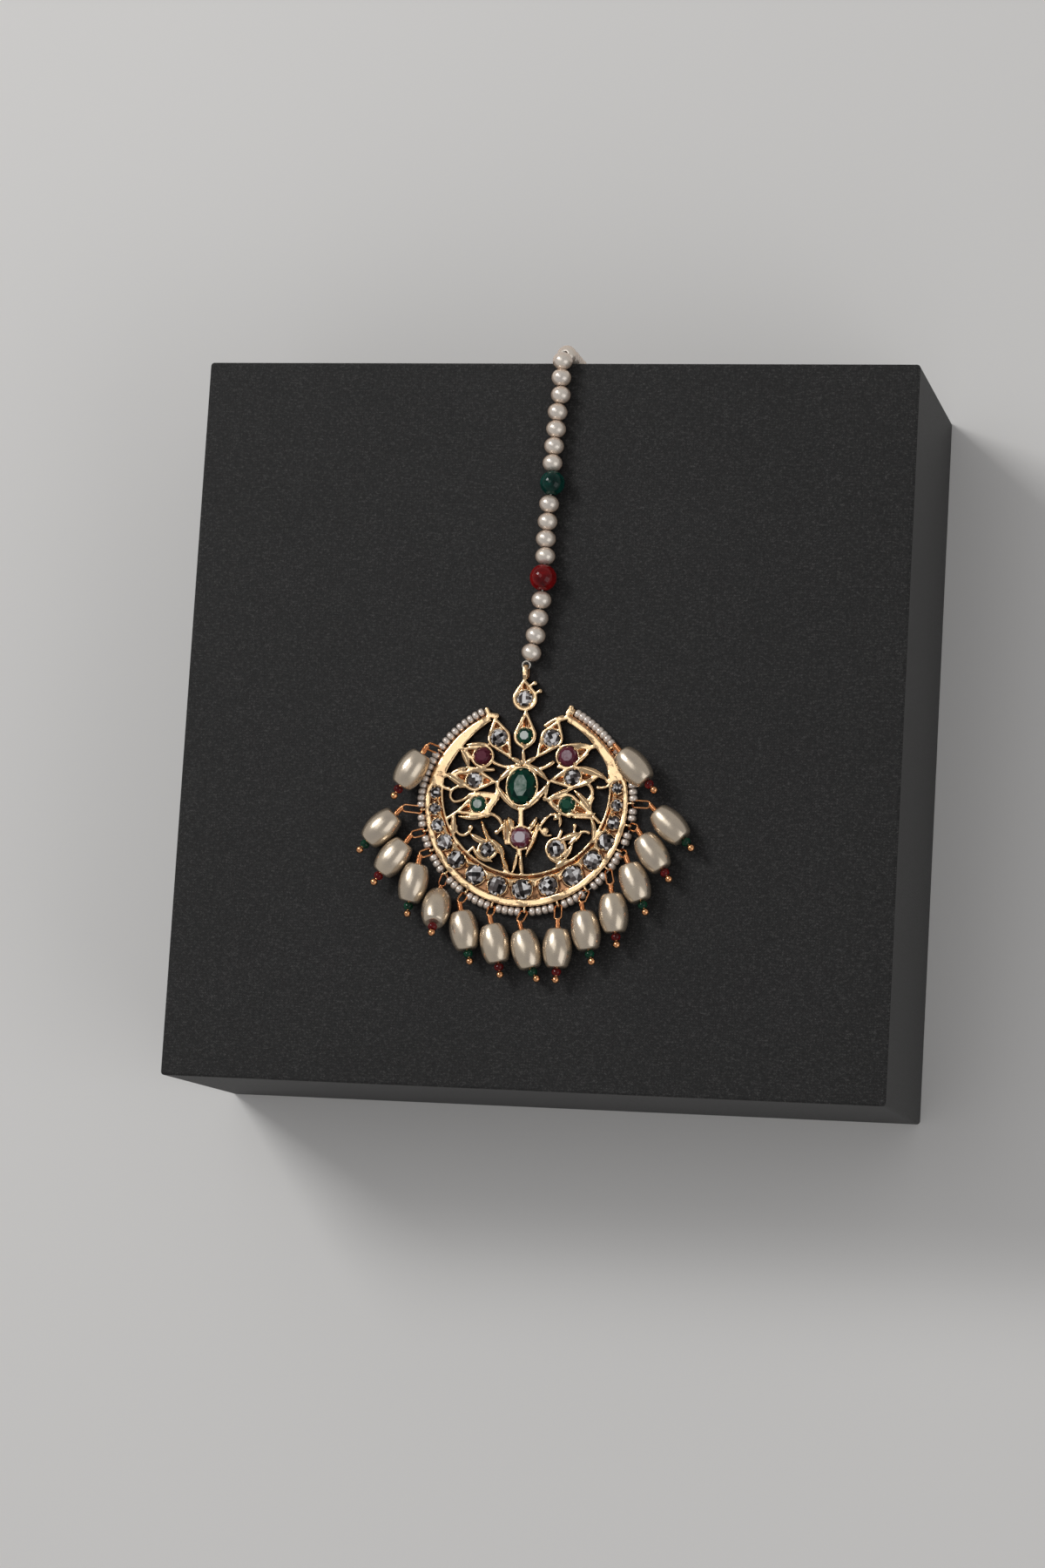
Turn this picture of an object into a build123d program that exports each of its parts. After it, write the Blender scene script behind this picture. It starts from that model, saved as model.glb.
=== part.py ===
from build123d import *
import os
from math import acos, atan2, ceil, cos, degrees, hypot, pi, radians, sin, sqrt

# A maang tikka, a forehead jewel on a string of pearls, lying on a plain square display box.
# Millimetres, +Z up, origin at the centre of the box's underside. The jewel lies flat on the
# box's top, its string runs towards +Y, over the back edge, and hangs down behind the box.

os.makedirs("parts", exist_ok=True)

# ---- driving dimensions -------------------------------------------------------------------
BOX_SIDE = 150.0
BOX_HEIGHT = 51.0
BOARD = 2.0
GAP = 0.1  # between pieces that lie on or beside each other

# Levels of the gold work, measured from its flat underside.
FLOOR = 0.9
FLANGE_TOP = 1.3
WALL_TOP = 1.8
COLLET_TOP = 1.75
CENTRE_COLLET_TOP = 1.95
CHANNEL_COLLET_TOP = 1.45
SHOULDER = 1.75
LEAF_TOP = 2.15
WALL = 0.58
COLLET = 0.25
CENTRE_COLLET = 0.38
CHANNEL_COLLET = 0.2

# The crescent lies between its rim and its hollow, whose centres are a little apart.
RIM = (-0.95, -16.95)
RIM_R = 21.05
HOLLOW = (-1.2, -14.1)
HOLLOW_R = 17.3
TIP_LEFT = 116.5
TIP_RIGHT = 66.0
CHANNEL_LEFT = 171.0
CHANNEL_RIGHT = 15.0
FLANGE = 0.35
RAIL_CENTRE = (-0.95, -16.6)
RAIL_INNER_R = 20.05
INNER_RAIL = 0.4
GROOVE = 0.55

# Claws between the crescent's stones, as shares of the stones' radius.
CLAW_SETBACK = 0.3
CLAW_HALF_BASE = 0.85
CLAW_CREST = 0.1

# Drops: a barrel pearl on a wire, then a small bead and a gold ball.
PEARL_R = 3.02
PEARL_HALF = 4.0
PEARL_SHOULDER = 1.3  # how far the pearl's oval would reach past its flat ends, as a ratio
PEARL_END_FILLET = 0.9
PEARL_BORE = 0.42
PIN_R = 0.25
ACCENT_R = 0.95
ACCENT_LENGTH = 1.4
BALL_R = 0.75
LOOP_WIRE_R = 0.18
LOOP_HALF_WIDTH = 0.72
NECK_R = 0.48
EYE_REACH = 0.7  # from the rim to the eye's centre
EYE_R = 0.62
EYE_WIRE_R = 0.2
EYE_Z = 1.0

# String: pearls, one green bead and one red bead on a thread.
STRING_PEARL_R = 2.05
STRING_PEARL_HALF = 1.72
GREEN_BEAD_R = 2.55
GREEN_BEAD_HALF = 2.4
RED_BEAD_R = 2.75
RED_BEAD_HALF = 2.6
BEAD_BORE = 0.5
BIG_BEAD_BORE = 0.55
THREAD_R = 0.2
PITCH = 3.62

TOP = BOX_HEIGHT + GAP  # underside of everything that lies on the box

# ---- tables -------------------------------------------------------------------------------
# Settings of the flower. Columns: node, x, y, stone radius, room between the stone's edge and
# the cell's wall, tips of the cell.
SETTINGS = [
    ("stone_top_drop", -2.5, 4.6, 1.6, 0.95, [(-2.9, 8.8), (-2.2, 2.0)]),
    ("stone_green_top", -2.0, -3.1, 1.6, 0.75, [(-2.1, 2.4), (-1.9, -6.0)]),
    ("stone_upper_left", -7.4, -3.6, 1.75, 0.6, [(-8.6, 0.7), (-4.5, -8.0)]),
    ("stone_upper_right", 3.6, -3.4, 1.75, 0.6, [(4.9, 0.4), (0.5, -7.7)]),
    ("stone_ruby_left", -10.6, -7.5, 1.8, 0.6, [(-15.0, -5.9)]),
    ("stone_ruby_right", 7.2, -7.1, 2.0, 0.6, [(12.2, -5.2)]),
    ("stone_mid_left", -12.0, -12.4, 1.6, 0.7, [(-7.2, -12.7), (-17.2, -11.2)]),
    ("stone_mid_right", 8.4, -11.3, 1.65, 0.7, [(3.4, -12.3), (13.9, -11.0)]),
    ("stone_green_left", -10.9, -17.4, 1.6, 0.7, [(-7.4, -15.8), (-15.8, -19.3)]),
    ("stone_green_right", 7.6, -17.0, 1.6, 0.7, [(3.2, -15.9), (13.2, -19.0)]),
    ("stone_ruby_bottom", -1.6, -24.0, 2.05, 0.5, []),
    ("stone_bottom_left", -8.4, -26.6, 1.55, 0.55, []),
    ("stone_bottom_right", 5.8, -26.0, 1.7, 0.55, []),
]
CENTRE = ("stone_centre", -2.0, -13.5, 2.95, 3.7)

# Circles that trim the rim and the hollow towards the crescent's two ends. Columns: x, y,
# radius.
RIM_SIDES = [(0.15, -18.99, 22.66), (-7.71, -25.78, 31.01)]
HOLLOW_SIDES = [(4.64, -20.25, 24.49), (-3.18, -18.26, 20.72)]

# Stones of the crescent. Columns: x, y, radius.
CRESCENT_STONES = [
    (-20.05, -15.2, 1.15), (-20.0, -18.5, 1.15), (-19.2, -21.9, 1.35), (-17.5, -25.3, 1.6),
    (-14.9, -28.8, 1.75), (-10.7, -31.8, 1.95), (-6.0, -33.9, 1.9), (-0.8, -34.5, 2.0),
    (4.6, -33.6, 1.9), (9.5, -31.4, 2.0), (13.5, -28.1, 1.85), (16.05, -24.3, 1.65),
    (17.4, -20.4, 1.35), (17.85, -16.8, 1.15), (17.75, -13.3, 1.1),
]

# Leaves with a ridge along the middle. Columns: x and y of one tip, x and y of the other tip,
# width, bow of the middle to the left of that line.
LEAVES = [
    (-14.2, -5.3, -9.4, -5.1, 0.9, 0.15), (-15.2, -6.3, -13.4, -10.0, 1.2, 0.3),
    (6.0, -4.9, 12.3, -4.9, 0.9, 0.2), (11.4, -6.4, 8.2, -9.3, 0.9, -0.15),
    (9.0, -9.2, 15.9, -11.9, 1.25, 0.5), (8.6, -13.6, 14.0, -10.9, 0.8, -0.2),
    (-18.0, -11.5, -14.0, -14.0, 1.2, 0.2), (-13.4, -9.8, -17.2, -11.4, 0.8, -0.2),
    (-14.9, -20.0, -8.8, -19.6, 0.9, -0.35), (8.9, -14.0, 12.9, -18.6, 1.2, 0.3),
    (3.7, -15.7, 8.6, -13.7, 0.9, 0.1), (3.4, -16.3, 8.4, -19.6, 0.9, -0.2),
    (8.4, -19.2, 13.6, -18.6, 0.7, -0.1), (8.9, -19.6, 13.8, -19.6, 0.6, 0.1),
    (-12.2, -23.5, -8.4, -25.1, 1.3, -0.3), (-11.6, -26.0, -7.2, -29.0, 0.9, -0.9),
    (6.6, -24.2, 10.9, -22.7, 1.3, 0.1), (10.9, -22.7, 8.3, -25.0, 0.9, 0.1),
    (9.2, -24.8, 7.6, -28.2, 0.9, 0.1), (4.0, -27.4, 8.0, -28.6, 0.9, -0.5),
    (5.9, -29.6, 8.2, -28.0, 1.2, 0.0), (-4.7, -19.8, -3.5, -22.8, 1.3, 0.1),
    (-5.2, -20.2, -4.5, -25.4, 0.8, 0.3), (1.5, -19.7, -0.2, -22.6, 1.0, 0.1),
    (1.9, -20.9, -0.3, -27.9, 0.9, -0.3), (-10.0, -20.8, -7.4, -25.0, 0.9, -0.5),
    (-7.9, -24.6, -4.7, -27.6, 1.3, 0.2), (-5.2, -27.0, -3.9, -30.9, 0.8, -0.2),
    (-7.8, -19.4, -5.6, -21.8, 0.8, 0.5), (-5.5, -21.4, -6.6, -23.1, 0.8, 0.1),
    (-7.3, -13.0, -2.2, -8.8, 1.2, 0.5), (-2.0, -8.8, 3.5, -12.3, 1.3, 0.4),
    (-7.2, -13.4, -2.2, -18.5, 1.2, -0.5), (3.4, -12.7, -1.8, -18.5, 1.3, 0.4),
    (-15.9, -19.2, -15.6, -24.3, 1.1, -0.1), (12.6, -19.3, 13.2, -24.6, 0.9, 0.6),
    (2.2, -21.8, 4.3, -19.1, 0.7, 0.3), (4.9, -20.2, 6.4, -18.9, 1.0, 0.0),
    (6.1, -19.2, 6.3, -21.6, 0.7, 0.2), (-2.2, -5.8, -1.9, -9.2, 0.8, 0.0),
    (-1.4, -27.2, -1.0, -31.6, 0.7, -0.1), (-2.2, -27.0, -3.0, -31.4, 0.6, 0.1),
    (-4.9, -7.6, -1.9, -9.1, 1.0, 0.1), (0.9, -7.3, -1.9, -9.1, 1.0, -0.1),
]

# Flat bars and curls of wire. Columns: x and y of one end, x and y of the other end, width,
# bow of the middle to the left of that line.
WIRES = [
    (-9.8, 1.0, -8.2, 0.9, 1.0, 0.0), (2.1, -0.9, 5.6, 1.1, 0.6, 0.2), (4.8, 0.3, 6.6, 0.9, 0.8, 0.0),
    (-8.6, -8.4, -5.4, -9.6, 0.6, -0.2), (4.2, -8.4, 1.1, -9.9, 0.7, 0.2),
    (-5.4, -9.5, -3.0, -9.2, 0.6, 0.0), (1.3, -9.9, -0.6, -9.3, 0.7, 0.0),
    (-13.5, -9.9, -8.2, -10.2, 0.6, -0.2), (5.2, -9.3, 8.9, -9.4, 0.5, -0.2),
    (-19.2, -12.8, -17.3, -14.4, 0.6, -0.4), (15.9, -12.9, 13.9, -13.3, 0.5, 0.2),
    (-15.9, -14.1, -15.9, -17.0, 0.5, -1.0), (-15.9, -14.1, -12.6, -14.1, 0.5, 0.5),
    (-15.9, -17.0, -12.9, -15.6, 0.45, -0.3), (-12.8, -15.4, -7.4, -15.3, 0.5, 0.3),
    (11.0, -12.5, 12.2, -15.6, 0.7, 1.0), (-7.2, -12.8, -7.0, -16.1, 0.8, 0.0),
    (-7.0, -16.0, -7.6, -17.3, 0.5, 0.0), (3.5, -12.4, 2.9, -15.9, 0.55, 0.0),
    (-7.9, -15.8, -9.2, -19.4, 0.6, 0.5), (-2.0, -18.0, -1.7, -22.2, 1.0, 0.0),
    (-1.9, -26.0, -1.7, -27.3, 0.9, 0.0), (-15.2, -22.0, -12.3, -22.2, 0.5, -1.7),
    (2.4, -21.4, 4.6, -23.3, 0.4, -0.9), (4.4, -19.1, 5.8, -19.3, 0.5, 0.2),
    (6.7, -22.4, 6.0, -24.4, 0.6, 0.0), (12.4, -22.6, 10.6, -22.7, 0.6, -0.3),
    (9.4, -21.2, 9.4, -22.9, 0.45, 0.0), (-4.8, -30.2, -2.6, -31.6, 0.5, -0.2),
    (-0.9, -31.6, -1.1, -29.8, 0.5, 0.0), (7.8, -28.6, 9.6, -28.0, 0.6, -0.1),
    (13.4, -24.3, 14.9, -22.4, 0.6, 0.0), (-15.7, -24.0, -14.9, -25.6, 0.6, 0.0),
    (-17.3, -11.4, -18.4, -11.8, 0.7, 0.0), (15.6, -11.9, 16.4, -12.4, 0.8, 0.0),
    (13.3, -19.3, 14.4, -20.4, 0.6, 0.0), (-15.6, -19.3, -17.4, -20.6, 0.55, 0.0),
    (12.0, -5.1, 12.9, -4.8, 0.8, 0.0), (-14.9, -5.9, -15.9, -5.6, 0.7, 0.0),
    (-14.9, -13.9, -14.0, -13.4, 0.5, 0.0), (12.9, -15.4, 12.4, -17.6, 0.5, -0.2),
    (-4.5, -29.6, -4.4, -31.3, 0.6, 0.0), (-11.4, -26.2, -12.6, -27.4, 0.5, 0.0),
    (-1.7, 7.1, -0.6, 7.9, 0.45, 0.0), (-0.5, 5.6, 0.6, 6.2, 0.45, 0.0), (6.6, 1.6, 7.3, 2.9, 0.9, 0.0),
    (-9.9, 1.3, -10.3, 2.2, 0.8, 0.0), (-9.0, -19.5, -7.3, -19.6, 0.6, 0.2),
    (-4.7, -25.2, -3.4, -25.0, 0.6, 0.0),
]

# Round grains at the ends of curls and claws. Columns: x, y, radius.
GRAINS = [
    (-9.0, -19.5, 0.6), (2.95, -15.9, 0.5), (3.4, -22.4, 0.65), (-12.2, -22.2, 0.45),
    (9.4, -21.2, 0.4), (-6.7, -23.0, 0.45), (-17.3, -14.4, 0.4), (4.8, 0.4, 0.5),
    (-0.6, 7.8, 0.42), (0.6, 6.2, 0.42), (12.2, -15.7, 0.45), (13.8, -13.3, 0.35),
]

# Pearl drops, anticlockwise from the left tip. Columns: angle of the eye on the rim, x and y of
# the pearl's centre, height of that centre, heading of the axis from the loop to the ball, rise
# of the ball's end, lean of the tail past the pearl.
DROPS = [
    (151.0, -24.8, -10.95, 3.9, -121.0, 0.0, 0.0),
    (184.9, -30.55, -22.95, 3.02, -134.0, 0.0, 4.0),
    (196.6, -27.7, -28.98, 3.02, -127.0, 0.0, 4.0),
    (207.9, -23.1, -34.1, 3.02, -100.0, 0.0, 6.0),
    (222.8, -17.8, -39.15, 3.7, -88.0, 33.0, 0.0),
    (238.3, -11.9, -43.45, 3.02, -77.0, 0.0, 4.0),
    (254.3, -5.35, -45.9, 3.02, -76.0, 0.0, -2.0),
    (272.5, 1.2, -46.85, 3.02, -73.0, 0.0, 18.0),
    (290.9, 7.6, -46.35, 3.02, -88.0, 0.0, -5.0),
    (308.0, 13.25, -42.6, 3.02, -78.0, 0.0, 6.0),
    (323.9, 18.75, -38.9, 3.02, -81.0, 0.0, 0.0),
    (335.4, 22.75, -32.6, 3.02, -68.0, 0.0, 3.0),
    (349.6, 26.0, -26.45, 3.02, -55.0, 0.0, 0.0),
    (1.6, 29.3, -20.75, 3.02, -43.0, 0.0, -4.0),
    (34.8, 21.55, -9.35, 4.6, -46.0, 0.0, 0.0),
]

# Beads of the string on the box, from the jewel to the back edge. Columns: kind, x, y, lift of
# the bead off the box.
STRING = [
    ("pearl", -1.6, 14.05, 0.0), ("pearl", -0.95, 17.58, 0.0), ("pearl", -0.55, 21.2, 0.0),
    ("pearl", -0.1, 24.9, 0.25), ("red", 0.09, 29.45, 0.0), ("pearl", 0.15, 34.0, 0.25),
    ("pearl", 0.0, 37.65, 0.0), ("pearl", 0.14, 41.27, 0.0), ("pearl", 0.3, 44.92, 0.2),
    ("green", 0.8, 49.2, 0.0), ("pearl", 0.5, 53.45, 0.2), ("pearl", 0.58, 57.08, 0.0),
    ("pearl", 0.78, 60.65, 0.0), ("pearl", 0.88, 64.22, 0.0), ("pearl", 1.35, 67.83, 0.0),
    ("pearl", 1.25, 71.45, 0.0), ("pearl", 1.3, 74.95, 0.0),
]
HANGING_X = 1.25
HANGING_Y = BOX_SIDE / 2 + STRING_PEARL_R + GAP
HANGING_TOP = BOX_HEIGHT - 1.7
HANGING_COUNT = 7
EDGE_BEND_R = 1.0

# Bail: a folded strap, open along X, and the thread's end loop round its far wall.
BAIL_X = -2.65
BAIL_LOW = 8.5
BAIL_HIGH = 11.7
BAIL_WIDTH = 0.95
BAIL_HEIGHT = 2.2
BAIL_WALL = 0.35
END_LOOP_R = 0.8
END_LOOP_WIRE_R = 0.15
END_LOOP_LEVEL = 1.45

# Hair hook: a round wire with an eye at the top and a J bend at the bottom.
HOOK_WIRE_R = 0.45
HOOK_EYE_R = 1.1
HOOK_SHANK = 9.0
HOOK_BEND_R = 3.0
HOOK_POINT = 5.0


# ---- helpers ------------------------------------------------------------------------------
def at(x, y, level):
    """A point at a level above the gold work's underside."""
    return Pos(x, y, TOP + level)


def polar(centre, radius, angle):
    """A point on a circle, as x and y."""
    return centre[0] + radius * cos(radians(angle)), centre[1] + radius * sin(radians(angle))


def raise_face(face, low, high):
    """Extrude a flat outline between two levels of the gold work."""
    return at(0, 0, low) * extrude(face, high - low)


def stacked(levels):
    """Solids one on the other, each with the outline of all the faces that reach its top."""
    layers = []
    low = 0
    for top in sorted({level for face, level in levels}):
        outline = Sketch()
        for face, level in levels:
            if level >= top:
                outline += face
        layers.append(raise_face(outline, low, top))
        low = top
    return layers


def disc(x, y, radius):
    return Pos(x, y) * Circle(radius)


def kite(x, y, radius, tip):
    """A circle drawn out to a tip: the circle with the triangle between its two tangents."""
    away = hypot(tip[0] - x, tip[1] - y)
    heading = degrees(atan2(tip[1] - y, tip[0] - x))
    half = degrees(acos(radius / away))
    left = polar((x, y), radius, heading + half)
    right = polar((x, y), radius, heading - half)
    return disc(x, y, radius) + Polygon(tip, left, right, align=None)


def cell(x, y, radius, tips, inset):
    """The outline of a cell round a stone, drawn in evenly by an inset."""
    scale = (radius - inset) / radius
    outline = disc(x, y, radius - inset)
    for tip in tips:
        near = (x + (tip[0] - x) * scale, y + (tip[1] - y) * scale)
        outline += kite(x, y, radius - inset, near)
    return outline


def wire_strip(x0, y0, x1, y1, width, bow):
    """A flat strip with round ends, straight or bowed to the left of its line."""
    if bow == 0:
        middle = ((x0 + x1) / 2, (y0 + y1) / 2)
        return SlotCenterPoint(middle, (x1, y1), width)
    return SlotArc(SagittaArc((x0, y0), (x1, y1), bow), width)


def leaf(x0, y0, x1, y1, width, bow):
    """A leaf with sloping facets on both sides of a ridge, in two tapering halves."""
    length = hypot(x1 - x0, y1 - y0)
    side = (-(y1 - y0) / length, (x1 - x0) / length)

    def section(share, half):
        out = 4 * bow * share * (1 - share)
        x = x0 + (x1 - x0) * share + side[0] * out
        y = y0 + (y1 - y0) * share + side[1] * out
        left = (x + side[0] * half, y + side[1] * half)
        right = (x - side[0] * half, y - side[1] * half)
        crest = TOP + SHOULDER + (LEAF_TOP - SHOULDER) * min(1.0, 1.2 * half)
        levels = (TOP, TOP + SHOULDER)
        return [(*edge, level) for edge in (left, right) for level in levels] + [(x, y, crest)]

    belly = section(0.5, width / 2)
    halves = [
        ConvexPolyhedron(section(tip, 0.08) + section(quarter, 0.4 * width) + belly)
        for tip, quarter in ((0.0, 0.25), (1.0, 0.75))
    ]
    return halves[0] + halves[1]


def cut_stone(x, y, half_x, half_y, sides, low, height):
    """A table-cut stone: a girdle, a ring of crown facets round the table, and a shallow back."""
    def ring(share, level, turn):
        steps = [2 * pi * (step + turn) / sides for step in range(sides)]
        z = TOP + low + height * level
        return [(x + half_x * share * cos(a), y + half_y * share * sin(a), z) for a in steps]

    back = ring(0.6, 0.0, 0.0)
    girdle = ring(1.0, 0.38, 0.0) + ring(1.0, 0.5, 0.0)
    crown = ring(0.82, 0.82, 0.5)
    table = ring(0.58, 1.0, 0.0)
    return ConvexPolyhedron(back + girdle + crown + table)


def barrel(radius, full_half, cut_half, bore, end_fillet=0.0):
    """An oval bead along Z with flat ends and a drilled bore."""
    oval = Ellipse(radius, full_half) & Rectangle(4 * radius, 2 * cut_half)
    if end_fillet:
        oval = fillet(oval.vertices(), end_fillet)
    outside_bore = Pos(bore + radius, 0) * Rectangle(2 * radius, 2 * cut_half)
    return revolve(Plane.XZ * (oval & outside_bore), Axis.Z)


def drilled_bead(radius, cut_half, bore):
    """A round bead with small flats at the ends of its bore."""
    return barrel(radius, max(cut_half * 1.06, radius * 0.9), cut_half, bore)


def save(shape, node):
    shape.label = node
    export_step(shape, f"parts/{node}.step")


def joined(solids):
    """One solid from many that overlap."""
    return solids[0].fuse(*solids[1:])


def sector(start, end, radius):
    """A pie slice about the rim's centre, between two angles."""
    steps = max(2, ceil((end - start) / 30))
    corners = [polar(RIM, radius, start + (end - start) * step / steps) for step in range(steps + 1)]
    return Polygon(RIM, *corners, align=None)


# ---- display box --------------------------------------------------------------------------
def make_display_box():
    outer = Box(BOX_SIDE, BOX_SIDE, BOX_HEIGHT)
    inner = Box(BOX_SIDE - 2 * BOARD, BOX_SIDE - 2 * BOARD, BOX_HEIGHT - 2 * BOARD)
    return Pos(0, 0, BOX_HEIGHT / 2) * (outer - inner)


# ---- pendant frame ------------------------------------------------------------------------
def rim_at(angle):
    """How far the rim is from its centre at an angle."""
    heading = Vector(cos(radians(angle)), sin(radians(angle)))
    reaches = [RIM_R]
    for x, y, radius in RIM_SIDES:
        offset = Vector(x - RIM[0], y - RIM[1])
        reaches.append(offset.dot(heading) + sqrt(radius**2 - offset.cross(heading).length ** 2))
    return min(reaches)


def trimmed(face, sides, inset):
    """What of a face lies within all the circles of a table, each drawn in by an inset."""
    for x, y, radius in sides:
        face &= disc(x, y, radius - inset)
    return face


def rim_face(inset):
    return trimmed(disc(*RIM, RIM_R - inset), RIM_SIDES, inset)


def crescent_levels():
    """The crescent's floor, the flange along its ends, and its raised rails and bands."""
    hollow = trimmed(disc(*HOLLOW, HOLLOW_R), HOLLOW_SIDES, 0)
    mouth = sector(TIP_RIGHT, TIP_LEFT, 2 * RIM_R)
    channel = sector(CHANNEL_LEFT, CHANNEL_RIGHT + 360, 2 * RIM_R)
    floor = rim_face(0) - hollow - mouth
    flange = floor - channel
    rail = (rim_face(0) - disc(*RAIL_CENTRE, RAIL_INNER_R)) & channel
    lip = (disc(*HOLLOW, HOLLOW_R + INNER_RAIL) - hollow) & channel
    bands = (rim_face(FLANGE) - hollow - mouth) - channel
    return floor, flange, rail + lip + bands


def channel_claws():
    """Three-sided claws between the crescent's stones, on the hollow's side."""
    claws = []
    for (x0, y0, r0), (x1, y1, r1) in zip(CRESCENT_STONES, CRESCENT_STONES[1:]):
        middle = ((x0 + x1) / 2, (y0 + y1) / 2)
        heading = degrees(atan2(middle[1] - HOLLOW[1], middle[0] - HOLLOW[0]))
        size = (r0 + r1) / 2
        root = HOLLOW_R + INNER_RAIL + min(GROOVE, size * CLAW_SETBACK)
        spread = degrees(CLAW_HALF_BASE * size / root)
        away = hypot(middle[0] - HOLLOW[0], middle[1] - HOLLOW[1])
        base = [polar(HOLLOW, root, heading + spread), polar(HOLLOW, root, heading - spread)]
        apex = polar(HOLLOW, away, heading)
        crest = polar(HOLLOW, (root + away) / 2 - CLAW_CREST * size, heading)
        levels = (TOP, TOP + WALL_TOP - 0.35)
        corners = [(*corner, level) for corner in base + [apex] for level in levels]
        claws.append(ConvexPolyhedron(corners + [(*crest, TOP + LEAF_TOP)]))
    return claws


def channel_collets():
    """Thin rings round the crescent's stones, held within the rim."""
    rings = Sketch()
    for x, y, radius in CRESCENT_STONES:
        rings += disc(x, y, radius + GAP / 2 + CHANNEL_COLLET)
    return rings & rim_face(FLANGE)


def stone_seats():
    """The outlines of all the stones, a little larger, to be sunk down to the floor."""
    seats = Pos(*CENTRE[1:3]) * Ellipse(CENTRE[3] + GAP / 2, CENTRE[4] + GAP / 2)
    for x, y, radius in CRESCENT_STONES:
        seats += disc(x, y, radius + GAP / 2)
    for node, x, y, radius, room, tips in SETTINGS:
        seats += disc(x, y, radius + GAP / 2)
    return seats


def make_pendant_frame():
    """All the soldered gold work: crescent, flower, collets, eyes and bail."""
    floor, flange, walls = crescent_levels()
    rings = Sketch()
    for node, x, y, radius, room, tips in SETTINGS:
        outline = cell(x, y, radius + room, tips, 0)
        floor += outline
        walls += outline - cell(x, y, radius + room, tips, WALL)
        rings += disc(x, y, radius + GAP / 2 + COLLET)
    node, x, y, half_x, half_y = CENTRE
    edge = GAP / 2 + CENTRE_COLLET
    centre_ring = Pos(x, y) * Ellipse(half_x + edge, half_y + edge)
    floor += centre_ring
    for row in WIRES:
        walls += wire_strip(*row)
    for x, y, radius in GRAINS:
        walls += disc(x, y, radius)
    levels = [
        (floor, FLOOR), (flange, FLANGE_TOP), (walls, WALL_TOP), (rings, COLLET_TOP),
        (centre_ring, CENTRE_COLLET_TOP), (channel_collets(), CHANNEL_COLLET_TOP),
    ]
    frame = joined(stacked(levels))
    for raised in (rim_eyes() + [make_bail()], channel_claws(), [leaf(*row) for row in LEAVES]):
        frame = frame.fuse(*raised)
    return frame - raise_face(stone_seats(), FLOOR, 2 * LEAF_TOP)


def rim_eyes():
    """A small upright ring on the rim for every drop, and one at each tip for the seed beads."""
    angles = [row[0] for row in DROPS] + [TIP_LEFT + 0.5, TIP_RIGHT - 0.5]
    ring = Rot(90, 0, 0) * Torus(EYE_R, EYE_WIRE_R)
    rings = []
    for angle in angles:
        place = at(*polar(RIM, rim_at(angle) + EYE_REACH, angle), EYE_Z)
        rings.append(place * Rot(0, 0, angle) * ring)
    return rings


def make_bail():
    length = BAIL_HIGH - BAIL_LOW
    outline = RectangleRounded(length, BAIL_HEIGHT, 0.9)
    outline -= RectangleRounded(length - 2 * BAIL_WALL, BAIL_HEIGHT - 2 * BAIL_WALL, 0.55)
    strap = extrude(Plane.YZ * outline, BAIL_WIDTH / 2, both=True)
    return at(BAIL_X, (BAIL_LOW + BAIL_HIGH) / 2, BAIL_HEIGHT / 2) * strap


# ---- stones -------------------------------------------------------------------------------
def save_stones():
    low = FLOOR + GAP
    for node, x, y, radius, room, tips in SETTINGS:
        save(cut_stone(x, y, radius, radius, 8, low, 0.95 * radius), node)
    node, x, y, half_x, half_y = CENTRE
    save(cut_stone(x, y, half_x, half_y, 12, low, 2.2), node)
    stones = [cut_stone(x, y, r, r, 8, low, 0.6 + 0.4 * r) for x, y, r in CRESCENT_STONES]
    save(Compound(children=stones), "crescent_stones")


# ---- drops --------------------------------------------------------------------------------
def drop_axis(heading, rise):
    flat = cos(radians(rise))
    return Vector(flat * cos(radians(heading)), flat * sin(radians(heading)), sin(radians(rise)))


def along(origin, direction):
    """A placement whose Z points along a direction."""
    return Location(Plane(origin=origin, z_dir=direction))


def rod(origin, direction, radius, length):
    """A round rod that starts at a point and runs along a direction."""
    return along(origin, direction) * Cylinder(radius, length, align=(Align.CENTER, Align.CENTER, Align.MIN))


def drop_loop(start, end):
    """A closed oval of wire from the eye's middle to the neck."""
    way = end - start
    half_width = min(LOOP_HALF_WIDTH, way.length / 2)
    across = Vector(0, 0, 1).cross(way).normalized()
    normal = way.cross(across)
    flat = Plane(origin=(start + end) / 2, x_dir=way, z_dir=normal)
    if way.length < 2 * half_width + 0.1:
        return Location(flat) * Torus(way.length / 2, LOOP_WIRE_R)
    path = SlotOverall(way.length, 2 * half_width).face().outer_wire()
    path = Location(flat) * path
    profile = Plane(origin=path @ 0, z_dir=path % 0) * Circle(LOOP_WIRE_R)
    return sweep(profile, path=path)


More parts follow.
